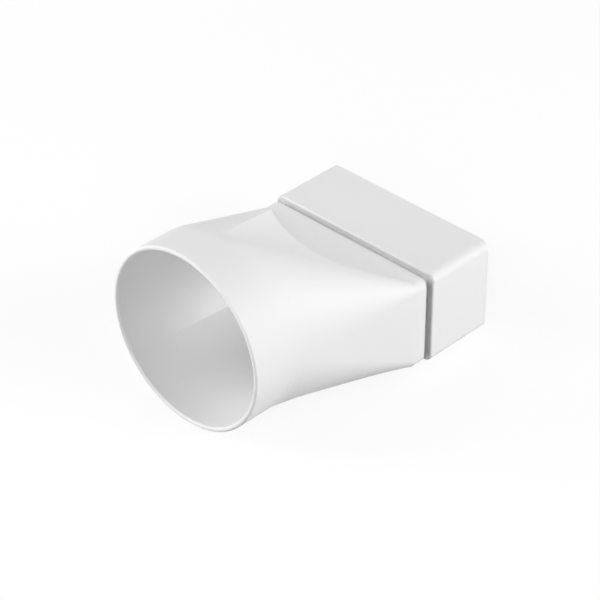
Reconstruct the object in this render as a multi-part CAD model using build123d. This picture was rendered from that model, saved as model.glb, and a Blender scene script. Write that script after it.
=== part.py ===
"""Duct transition piece: a round spigot that runs over into a flat duct end, moulded in one piece.

The duct runs along +Y from the round mouth to the flat mouth, X lies across it and +Z is up.
The origin is on the plane it lies on, under the middle of its length.
"""

import os
from math import atan2, cos, radians, sin, tan

from build123d import *

# Sizes of the round end
round_outside = 100.0
spigot_length = 25.0
round_rim_bevel = 0.8

# Sizes of the flat end
flat_width = 110.0
flat_height = 54.0
flat_corner = 5.0
flat_length = 43.5
flat_rim_bevel = 0.8

# Sizes of the run between them, whose first fold is eased by a few narrow bands
wall = 2.5
transition_length = 84.5
fold_reach = 5.0
fold_bands = 3

# Half of the round end's arc that each flat side of the run starts from, in degrees
side_half_angle = 1.0
top_half_angle = 1.0
bottom_half_angle = 52.0

# The collar that the run ends in, set in from the flat end on every side
collar_length = 8.0
collar_inset = 1.2
collar_corner = 5.0

# The groove behind the collar, pressed in so that the wall stays even and makes a stop inside
groove_width = 3.0
groove_depth = 2.2
groove_bevel = 0.7
least_corner = 0.3

# The hollow in the sloping top, which runs out along an arc on a nearly level patch before the collar
lens_reach = 14.0
lens_rise = 0.8
lens_margin = 1.0

# How far the cutting shapes reach past what they cut
past_mouth = 1.0
past_fold = 1.5
past_lens = 10.0

# Places along the duct, counted from the round mouth
axis_height = round_outside / 2
collar_start = spigot_length + transition_length
groove_start = collar_start + collar_length
groove_end = groove_start + groove_width
total_length = groove_end + flat_length
collar_top = flat_height - collar_inset
groove_corner = max(collar_corner - groove_depth, least_corner)

# The hollow's middle line and the shift that keeps the sloping wall even at the folds
lens_front = collar_start - lens_reach
lens_top = collar_top + lens_rise
lens_half_width = flat_width / 2 - collar_inset - collar_corner - lens_margin
slope_angle = atan2(round_outside - lens_top, lens_front - spigot_length)
mitre = wall * tan(slope_angle / 2)

# The flat sides in turn from +X towards +Z, and how close two places are that count as one
half_angles = (side_half_angle, top_half_angle, side_half_angle, bottom_half_angle)
quarter_turn = 90
same_place = 0.01


def between(start, end, share):
    """Point on the line between two points, at a share of the way."""
    return tuple(a + (b - a) * share for a, b in zip(start, end))


def round_point(radius, angle, y):
    """Point of a circle about the round end's axis, the angle in degrees from +X towards +Z."""
    turn = radians(angle)
    return (radius * cos(turn), y, axis_height + radius * sin(turn))


def flat_point(inset, corner, quarter, angle, y):
    """Point of a corner of the flat outline, which is set in from the flat end's outside."""
    side = 1 if quarter % 4 in (0, 3) else -1
    centre_x = side * (flat_width / 2 - inset - corner)
    centre_z = flat_height - inset - corner if quarter % 4 in (0, 1) else inset + corner
    turn = radians(angle)
    return (centre_x + corner * cos(turn), y, centre_z + corner * sin(turn))


def section(radius, inset, corner, share, y):
    """Outline across the duct: a circle at share 0, a rounded rectangle at share 1, else between them.

    It has four corner arcs, with a side after each that is an arc on the circle and straight on the flat.
    """

    def corner_point(quarter, part):
        start = quarter_turn * quarter + half_angles[quarter % 4]
        end = quarter_turn * (quarter + 1) - half_angles[(quarter + 1) % 4]
        on_round = round_point(radius, start + (end - start) * part, y)
        on_flat = flat_point(inset, corner, quarter, quarter_turn * (quarter + part), y)
        return between(on_round, on_flat, share)

    edges = []
    for quarter in range(4):
        last = corner_point(quarter, 1)
        following = corner_point(quarter + 1, 0)
        edges.append(ThreePointArc(corner_point(quarter, 0), corner_point(quarter, 0.5), last))
        if share == 1:
            edges.append(Line(last, following))
        else:
            angle = quarter_turn * (quarter + 1)
            flat_start = flat_point(inset, corner, quarter, angle, y)
            flat_end = flat_point(inset, corner, quarter + 1, angle, y)
            middle = between(round_point(radius, angle, y), between(flat_start, flat_end, 0.5), share)
            edges.append(ThreePointArc(last, middle, following))
    return Face(Wire(edges))


def flat_block(inset, corner, stations):
    """Stretch of the flat duct through stations, each a place along it and how far it is bevelled there."""
    outlines = [section(axis_height, inset + bevel, corner, 1, y) for y, bevel in stations]
    return loft(outlines, ruled=True)


def round_block(radius, start, end):
    """Straight stretch of the round duct between two places along it."""
    return Pos(0, start, axis_height) * Rot(-90, 0, 0) * Cylinder(
        radius, end - start, align=(Align.CENTER, Align.CENTER, Align.MIN)
    )


def run_block(radius, inset, corner, shift):
    """Ruled run from round to flat, moved along the duct by shift.

    The bands at the first fold follow a parabola that meets the spigot and the straight run without a kink.
    """
    first = spigot_length - fold_reach + shift
    eased_length = 2 * fold_reach
    eased_share = fold_reach / transition_length
    outlines = []
    for band in range(fold_bands + 1):
        part = band / fold_bands
        outlines.append(section(radius, inset, corner, eased_share * part**2, first + eased_length * part))
    outlines.append(section(radius, inset, corner, 1, collar_start + shift))
    return loft(outlines, ruled=True)


def hollow_tool():
    """Pointed cone from above the first fold's top to the arc where the sloping top runs out."""
    lens_fall = lens_rise / lens_reach
    back = collar_start + past_lens
    back_height = collar_top - past_lens * lens_fall
    tip = Vertex(0, spigot_length - past_fold, round_outside + past_fold)
    left = (-lens_half_width, collar_start, collar_top)
    right = (lens_half_width, collar_start, collar_top)
    left_back = (-lens_half_width, back, back_height)
    right_back = (lens_half_width, back, back_height)
    edges = [
        ThreePointArc(left, (0, lens_front, lens_top), right),
        Line(right, right_back),
        Line(right_back, left_back),
        Line(left_back, left),
    ]
    return loft([tip, Face(Wire(edges))], ruled=True)


def outside_body():
    """Everything inside the outer skin."""
    spigot = round_block(axis_height, 0, spigot_length - fold_reach)
    run = run_block(axis_height, collar_inset, collar_corner, 0) - hollow_tool()
    collar_stations = [(collar_start, 0), (groove_start - groove_bevel, 0), (groove_start, groove_bevel)]
    flat_stations = [
        (groove_end, groove_bevel),
        (groove_end + groove_bevel, 0),
        (total_length - flat_rim_bevel, 0),
        (total_length, flat_rim_bevel),
    ]
    return (
        spigot
        + run
        + flat_block(collar_inset, collar_corner, collar_stations)
        + flat_block(collar_inset + groove_depth, groove_corner, [(groove_start, 0), (groove_end, 0)])
        + flat_block(0, flat_corner, flat_stations)
    )


def inner_corner(corner):
    """Corner of the inner skin behind a corner of the outer skin."""
    return max(corner - wall, least_corner)


def inside_space():
    """The air passage, one wall in from the outer skin, with the folds moved along by the mitre."""
    inner_radius = axis_height - wall
    run_end = collar_start - mitre
    stop_start = groove_start - wall
    stop_end = groove_end + wall
    collar_inner = collar_inset + wall
    stop_inner = collar_inset + groove_depth + wall
    spigot = round_block(inner_radius, -past_mouth, spigot_length - fold_reach - mitre)
    run = run_block(inner_radius, collar_inner, inner_corner(collar_corner), -mitre)
    run -= Pos(0, -mitre, -wall) * hollow_tool()
    return (
        spigot
        + run
        + flat_block(collar_inner, inner_corner(collar_corner), [(run_end, 0), (stop_start, 0)])
        + flat_block(stop_inner, inner_corner(groove_corner), [(stop_start, 0), (stop_end, 0)])
        + flat_block(wall, inner_corner(flat_corner), [(stop_end, 0), (total_length + past_mouth, 0)])
    )


def loops_at(solid, y):
    """Edges that lie in the plane across the duct at y."""
    return solid.edges().filter_by_position(Axis.Y, y - same_place, y + same_place)


def duct_transition():
    """The whole piece, with the round mouth's rim bevelled."""
    body = outside_body() - inside_space()
    body = chamfer(loops_at(body, 0), round_rim_bevel)
    return Pos(0, -total_length / 2, 0) * body


os.makedirs("parts", exist_ok=True)
export_step(duct_transition(), "parts/duct_transition.step")
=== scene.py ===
"""Studio picture of a duct transition piece in white moulded plastic."""

import logging
import math
from dataclasses import dataclass
from enum import Enum

import bpy
from mathutils import Matrix, Vector


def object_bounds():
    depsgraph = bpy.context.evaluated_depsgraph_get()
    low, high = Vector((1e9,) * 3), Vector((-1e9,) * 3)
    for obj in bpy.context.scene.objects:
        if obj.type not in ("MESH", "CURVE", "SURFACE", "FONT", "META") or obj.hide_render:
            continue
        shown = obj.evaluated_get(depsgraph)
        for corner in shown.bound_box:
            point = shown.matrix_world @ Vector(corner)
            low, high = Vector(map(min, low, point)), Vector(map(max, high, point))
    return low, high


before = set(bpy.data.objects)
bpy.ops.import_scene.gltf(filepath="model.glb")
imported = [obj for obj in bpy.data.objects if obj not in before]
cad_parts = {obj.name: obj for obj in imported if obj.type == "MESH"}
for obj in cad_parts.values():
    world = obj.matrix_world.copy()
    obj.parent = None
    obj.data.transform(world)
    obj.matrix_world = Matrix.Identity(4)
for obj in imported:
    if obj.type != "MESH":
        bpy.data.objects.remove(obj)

CAD_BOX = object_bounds()
PICTURE_SIDE_PX = 600.0
SENSOR_WIDTH_MM = 36.0
LOG = logging.getLogger("duct_transition")


class Node(Enum):
    """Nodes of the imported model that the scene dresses."""

    BODY = "duct_transition"


class SeenRay(Enum):
    """Kinds of ray that show the white background, as outputs of the Light Path node."""

    CAMERA = "Is Camera Ray"
    GLOSSY = "Is Glossy Ray"
    TRANSMISSION = "Is Transmission Ray"


class Step(Enum):
    """Operations of the Math node that the materials use."""

    ABSOLUTE = "ABSOLUTE"
    COMPARE = "COMPARE"
    LESS_THAN = "LESS_THAN"
    MAXIMUM = "MAXIMUM"
    MINIMUM = "MINIMUM"
    MULTIPLY = "MULTIPLY"
    SUBTRACT = "SUBTRACT"


def direction(azimuth: float, elevation: float) -> Vector:
    """Direction from the object to something that stands round it.

    Args:
        azimuth: Degrees round the object, 0 in front of the round mouth and 90 on the +X side.
        elevation: Degrees above the floor.

    Returns:
        A unit vector.
    """
    turn = math.radians(azimuth)
    rise = math.radians(elevation)
    return Vector((math.sin(turn) * math.cos(rise), -math.cos(turn) * math.cos(rise), math.sin(rise)))


def calculate(
    tree: bpy.types.NodeTree, step: Step, *values: bpy.types.NodeSocket | float
) -> bpy.types.NodeSocket:
    """Add a Math node.

    Args:
        tree: Node tree that gets the node.
        step: Operation of the node.
        values: Its inputs in turn, each a socket to link or a number to set.

    Returns:
        The node's result.
    """
    node = tree.nodes.new("ShaderNodeMath")
    node.operation = step.value
    for socket, value in zip(node.inputs, values):
        if isinstance(value, bpy.types.NodeSocket):
            tree.links.new(value, socket)
        else:
            socket.default_value = value
    return node.outputs["Value"]


def seen_mask(tree: bpy.types.NodeTree) -> bpy.types.NodeSocket:
    """Add nodes that tell the rays that show the background from those that carry light.

    Args:
        tree: Node tree of the floor's material or of the world.

    Returns:
        A socket that is 1 for a ray that shows the background and 0 for any other.
    """
    ray = tree.nodes.new("ShaderNodeLightPath")
    mask = ray.outputs[SeenRay.CAMERA.value]
    for kind in (SeenRay.GLOSSY, SeenRay.TRANSMISSION):
        mask = calculate(tree, Step.MAXIMUM, mask, ray.outputs[kind.value])
    return mask


@dataclass(frozen=True)
class PaintedGrooveShade:
    """Painted shade in the groove behind the collar, which stands in for the shadow of the depth that
    the groove lacks.

    Attributes:
        middle_y: Middle of the shade along the duct, in metres.
        half_width: Half of the shade's width, in metres.
        half_flat_width: Half of the flat end's outside width, in metres.
        flat_height: Height of the flat end's outside, in metres.
        clean_inset: How far in from the flat end's outside the shade begins, in metres.
        full_inset: How far in the shade is deepest, in metres.
        wall_inset: How far in the groove's wall is already the air way's side, in metres.
        corner_reach: How far from the top and the underside the shade at the sides is whole, in metres.
        side_cover: Share of the colour that the shade takes at the sides.
        level_cover: Share of the colour that the shade takes on the top and the underside.
    """

    middle_y: float = 0.0385
    half_width: float = 0.0013
    half_flat_width: float = 0.0550
    flat_height: float = 0.0540
    clean_inset: float = 0.0
    full_inset: float = 0.0008
    wall_inset: float = 0.0046
    corner_reach: float = 0.0060
    side_cover: float = 0.5
    level_cover: float = 0.22

    def cover(
        self, tree: bpy.types.NodeTree, inset: bpy.types.NodeSocket, most: float
    ) -> bpy.types.NodeSocket:
        """Add nodes that give the share of the colour that the shade takes on some sides of the duct.

        Args:
            tree: Node tree of the material.
            inset: How far in a place is from those sides of the flat end's outside.
            most: The share where the shade is deepest.

        Returns:
            A socket that is 0 on the outside, grows inwards and is 0 again in the air way.
        """
        depth = tree.nodes.new("ShaderNodeMapRange")
        depth.inputs["From Min"].default_value = self.clean_inset
        depth.inputs["From Max"].default_value = self.full_inset
        depth.inputs["To Max"].default_value = most
        tree.links.new(inset, depth.inputs["Value"])
        outside = calculate(tree, Step.LESS_THAN, inset, self.wall_inset)
        return calculate(tree, Step.MULTIPLY, outside, depth.outputs["Result"])

    def factor(self, tree: bpy.types.NodeTree, place: bpy.types.NodeSocket) -> bpy.types.NodeSocket:
        """Add nodes that give the share of the colour that the shade leaves.

        Args:
            tree: Node tree of the material.
            place: Object coordinates.

        Returns:
            A socket that is 1 away from the groove and lower in it.
        """
        axes = tree.nodes.new("ShaderNodeSeparateXYZ")
        tree.links.new(place, axes.inputs["Vector"])
        across = calculate(tree, Step.ABSOLUTE, axes.outputs["X"])
        from_sides = calculate(tree, Step.SUBTRACT, self.half_flat_width, across)
        from_top = calculate(tree, Step.SUBTRACT, self.flat_height, axes.outputs["Z"])
        from_levels = calculate(tree, Step.MINIMUM, from_top, axes.outputs["Z"])
        whole = tree.nodes.new("ShaderNodeMapRange")
        whole.inputs["From Max"].default_value = self.corner_reach
        tree.links.new(from_levels, whole.inputs["Value"])
        side_cover = self.cover(tree, from_sides, self.side_cover)
        at_sides = calculate(tree, Step.MULTIPLY, side_cover, whole.outputs["Result"])
        at_levels = self.cover(tree, from_levels, self.level_cover)
        within = calculate(tree, Step.COMPARE, axes.outputs["Y"], self.middle_y, self.half_width)
        most = calculate(tree, Step.MAXIMUM, at_sides, at_levels)
        return calculate(tree, Step.SUBTRACT, 1.0, calculate(tree, Step.MULTIPLY, within, most))


@dataclass(frozen=True)
class WhitePlastic:
    """Smooth white moulded plastic with a soft shine and painted shade in the groove.

    Attributes:
        name: Name of the material.
        colour: Mean base colour, linear.
        colour_spread: How far the base colour wanders to either side of its mean.
        roughness: Mean roughness.
        roughness_spread: How far the roughness wanders to either side of its mean.
        cloud_scale: Clouds of tone per metre.
        grain_scale: Grains of the moulded skin per metre.
        grain_height_m: Height of the grain.
        grain_strength: Strength of the grain's bump.
        painted_groove_shade: Painted shade in the groove, darker on the sides than on the top and the
            underside.
    """

    name: str = "white_plastic"
    colour: float = 0.90
    colour_spread: float = 0.006
    roughness: float = 0.55
    roughness_spread: float = 0.04
    cloud_scale: float = 18.0
    grain_scale: float = 900.0
    grain_height_m: float = 0.00002
    grain_strength: float = 0.25
    painted_groove_shade: PaintedGrooveShade = PaintedGrooveShade()

    def material(self) -> bpy.types.Material:
        """Build the node material.

        Returns:
            The new material.
        """
        material = bpy.data.materials.new(self.name)
        material.use_nodes = True
        nodes = material.node_tree.nodes
        links = material.node_tree.links
        shader = nodes["Principled BSDF"]
        place = nodes.new("ShaderNodeTexCoord")

        cloud = nodes.new("ShaderNodeTexNoise")
        cloud.inputs["Scale"].default_value = self.cloud_scale
        links.new(place.outputs["Object"], cloud.inputs["Vector"])

        tone = nodes.new("ShaderNodeMapRange")
        tone.inputs["To Min"].default_value = self.colour - self.colour_spread
        tone.inputs["To Max"].default_value = self.colour + self.colour_spread
        links.new(cloud.outputs["Fac"], tone.inputs["Value"])
        # Painted shade: the base colour is darkened in the groove, where a deeper groove would hold
        # shadow.
        left = self.painted_groove_shade.factor(material.node_tree, place.outputs["Object"])
        colour = calculate(material.node_tree, Step.MULTIPLY, tone.outputs["Result"], left)
        links.new(colour, shader.inputs["Base Color"])

        gloss = nodes.new("ShaderNodeMapRange")
        gloss.inputs["To Min"].default_value = self.roughness - self.roughness_spread
        gloss.inputs["To Max"].default_value = self.roughness + self.roughness_spread
        links.new(cloud.outputs["Fac"], gloss.inputs["Value"])
        links.new(gloss.outputs["Result"], shader.inputs["Roughness"])

        grain = nodes.new("ShaderNodeTexNoise")
        grain.inputs["Scale"].default_value = self.grain_scale
        links.new(place.outputs["Object"], grain.inputs["Vector"])
        bump = nodes.new("ShaderNodeBump")
        bump.inputs["Strength"].default_value = self.grain_strength
        bump.inputs["Distance"].default_value = self.grain_height_m
        links.new(grain.outputs["Fac"], bump.inputs["Height"])
        links.new(bump.outputs["Normal"], shader.inputs["Normal"])
        return material


@dataclass(frozen=True)
class FloorPaint:
    """Pale floor that shows nearly white and keeps the object's shadow.

    Attributes:
        name: Name of the material.
        bounce_colour: Base colour for the light that it throws back, linear.
        seen_colour: Base colour where it is seen, linear.
        seen_lift: Light added where it is seen.
        roughness: Roughness of the paint.
    """

    name: str = "floor_paint"
    bounce_colour: float = 0.45
    seen_colour: float = 0.20
    seen_lift: float = 0.83
    roughness: float = 0.9

    def material(self) -> bpy.types.Material:
        """Build the node material.

        Returns:
            The new material.
        """
        material = bpy.data.materials.new(self.name)
        material.use_nodes = True
        tree = material.node_tree
        shader = tree.nodes["Principled BSDF"]
        shader.inputs["Roughness"].default_value = self.roughness
        shader.inputs["Specular IOR Level"].default_value = 0.0
        shader.inputs["Emission Strength"].default_value = 1.0
        mask = seen_mask(tree)
        levels = {
            "Base Color": (self.bounce_colour, self.seen_colour),
            "Emission Color": (0.0, self.seen_lift),
        }
        for socket, (unseen, seen) in levels.items():
            step = tree.nodes.new("ShaderNodeMapRange")
            step.inputs["To Min"].default_value = unseen
            step.inputs["To Max"].default_value = seen
            tree.links.new(mask, step.inputs["Value"])
            tree.links.new(step.outputs["Result"], shader.inputs[socket])
        return material


@dataclass
class DuctTransition:
    """The moulded piece itself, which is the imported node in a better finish.

    Attributes:
        finish: Finish of the whole piece.
    """

    finish: WhitePlastic

    def dress(self) -> bpy.types.Object:
        """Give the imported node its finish.

        Returns:
            The dressed node.
        """
        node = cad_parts[Node.BODY.value]
        material = self.finish.material()
        for slot in node.material_slots:
            slot.material = material
        return node


@dataclass
class SoftBox:
    """Square studio light that points at a target.

    Attributes:
        name: Name of the light.
        azimuth: Degrees round the object, 0 in front of the round mouth and 90 on the +X side.
        elevation: Degrees above the floor.
        power: Watts.
        distance: Metres from the target.
        side: Side of the square light in metres.
    """

    name: str
    azimuth: float
    elevation: float
    power: float
    distance: float = 1.6
    side: float = 0.7

    def build(self, target: Vector) -> bpy.types.Object:
        """Add the light to the scene.

        Args:
            target: Point that the light faces.

        Returns:
            The new light object.
        """
        back = direction(self.azimuth, self.elevation)
        bpy.ops.object.light_add(type="AREA", location=target + back * self.distance)
        light = bpy.context.object
        light.name = self.name
        light.data.shape = "SQUARE"
        light.data.size = self.side
        light.data.energy = self.power
        light.visible_camera = False
        light.rotation_mode = "QUATERNION"
        light.rotation_quaternion = (-back).to_track_quat("-Z", "Y")
        return light


@dataclass
class Studio:
    """Floor, lights and surroundings.

    Attributes:
        floor_finish: Finish of the floor.
        floor_side: Side of the square floor in metres.
        boxes: The studio lights.
        ambient: Strength of the even light from all round.
        background: Strength of the surroundings where they are seen.
    """

    floor_finish: FloorPaint
    floor_side: float
    boxes: list[SoftBox]
    ambient: float = 0.0
    background: float = 1.0

    def build_floor(self, height: float) -> bpy.types.Object:
        """Lay the floor.

        Args:
            height: Height of the floor in metres.

        Returns:
            The floor object.
        """
        bpy.ops.mesh.primitive_plane_add(size=self.floor_side, location=(0.0, 0.0, height))
        floor = bpy.context.object
        floor.name = "floor"
        floor.data.materials.append(self.floor_finish.material())
        return floor

    def build_surroundings(self) -> bpy.types.World:
        """Make the surroundings: white where they are seen, with an even light from all round.

        Returns:
            The scene's world.
        """
        world = bpy.data.worlds.new("surroundings")
        world.use_nodes = True
        tree = world.node_tree
        shader = tree.nodes["Background"]
        shader.inputs["Color"].default_value = (1.0, 1.0, 1.0, 1.0)
        step = tree.nodes.new("ShaderNodeMapRange")
        step.inputs["To Min"].default_value = self.ambient
        step.inputs["To Max"].default_value = self.background
        tree.links.new(seen_mask(tree), step.inputs["Value"])
        tree.links.new(step.outputs["Result"], shader.inputs["Strength"])
        bpy.context.scene.world = world
        return world

    def build(self, target: Vector, floor_height: float) -> None:
        """Build the whole studio.

        Args:
            target: Point that the lights face.
            floor_height: Height of the floor in metres.
        """
        self.build_floor(floor_height)
        self.build_surroundings()
        for box in self.boxes:
            box.build(target)
            LOG.info("light %s", box.name)


@dataclass
class PhotoCamera:
    """Level camera at the photograph's view of the object.

    Attributes:
        azimuth: Degrees round the object, 0 in front of the round mouth and 90 on the +X side.
        elevation: Degrees above the floor.
        distance: Metres from the point it looks at.
        focal_px: Focal length in pixels of the 600 pixel picture.
        aim_right: Metres from the object's middle to the picture's middle, to the right.
        aim_up: Metres from the object's middle to the picture's middle, upwards in the picture.
    """

    azimuth: float
    elevation: float
    distance: float
    focal_px: float
    aim_right: float
    aim_up: float

    def build(self, middle: Vector) -> bpy.types.Object:
        """Add the camera and make it the scene's camera.

        Args:
            middle: The object's middle, from which the aim is counted.

        Returns:
            The camera object.
        """
        back = direction(self.azimuth, self.elevation)
        right = Vector((0.0, 0.0, 1.0)).cross(back).normalized()
        up = back.cross(right)
        aim = middle + right * self.aim_right + up * self.aim_up
        turn = Matrix((right, up, back)).transposed()
        data = bpy.data.cameras.new("photo_camera")
        data.sensor_width = SENSOR_WIDTH_MM
        data.lens = self.focal_px * SENSOR_WIDTH_MM / PICTURE_SIDE_PX
        camera = bpy.data.objects.new("photo_camera", data)
        camera.matrix_world = Matrix.Translation(aim + back * self.distance) @ turn.to_4x4()
        bpy.context.scene.collection.objects.link(camera)
        bpy.context.scene.camera = camera
        return camera


def main() -> None:
    """Dress the piece and build the studio and camera."""
    logging.basicConfig(level=logging.INFO)
    bpy.context.scene.view_settings.view_transform = "Standard"
    low, high = CAD_BOX
    middle = (low + high) / 2

    piece = DuctTransition(finish=WhitePlastic())
    LOG.info("dressed %s", piece.dress().name)

    studio = Studio(
        floor_finish=FloorPaint(),
        floor_side=12.0,
        boxes=[
            SoftBox("back", azimuth=150.0, elevation=5.0, power=15.0),
            SoftBox("right", azimuth=100.0, elevation=31.0, power=11.5),
            SoftBox("front_left", azimuth=315.0, elevation=10.0, power=11.0),
            SoftBox("front_left_high", azimuth=315.0, elevation=38.0, power=6.0),
            SoftBox("left", azimuth=270.0, elevation=14.0, power=4.0),
            SoftBox("front_right", azimuth=35.0, elevation=26.0, power=6.0),
            SoftBox("back_left", azimuth=225.0, elevation=38.0, power=3.0),
            SoftBox("front_high", azimuth=340.0, elevation=50.0, power=2.0),
        ],
        ambient=0.06,
    )
    studio.build(target=middle, floor_height=low.z)

    camera = PhotoCamera(
        azimuth=44.07,
        elevation=35.31,
        distance=1.2622,
        focal_px=2503.0,
        aim_right=-0.00043,
        aim_up=-0.01446,
    )
    camera.build(middle)
    LOG.info("camera at the photograph's view")


if __name__ == "__main__":
    main()
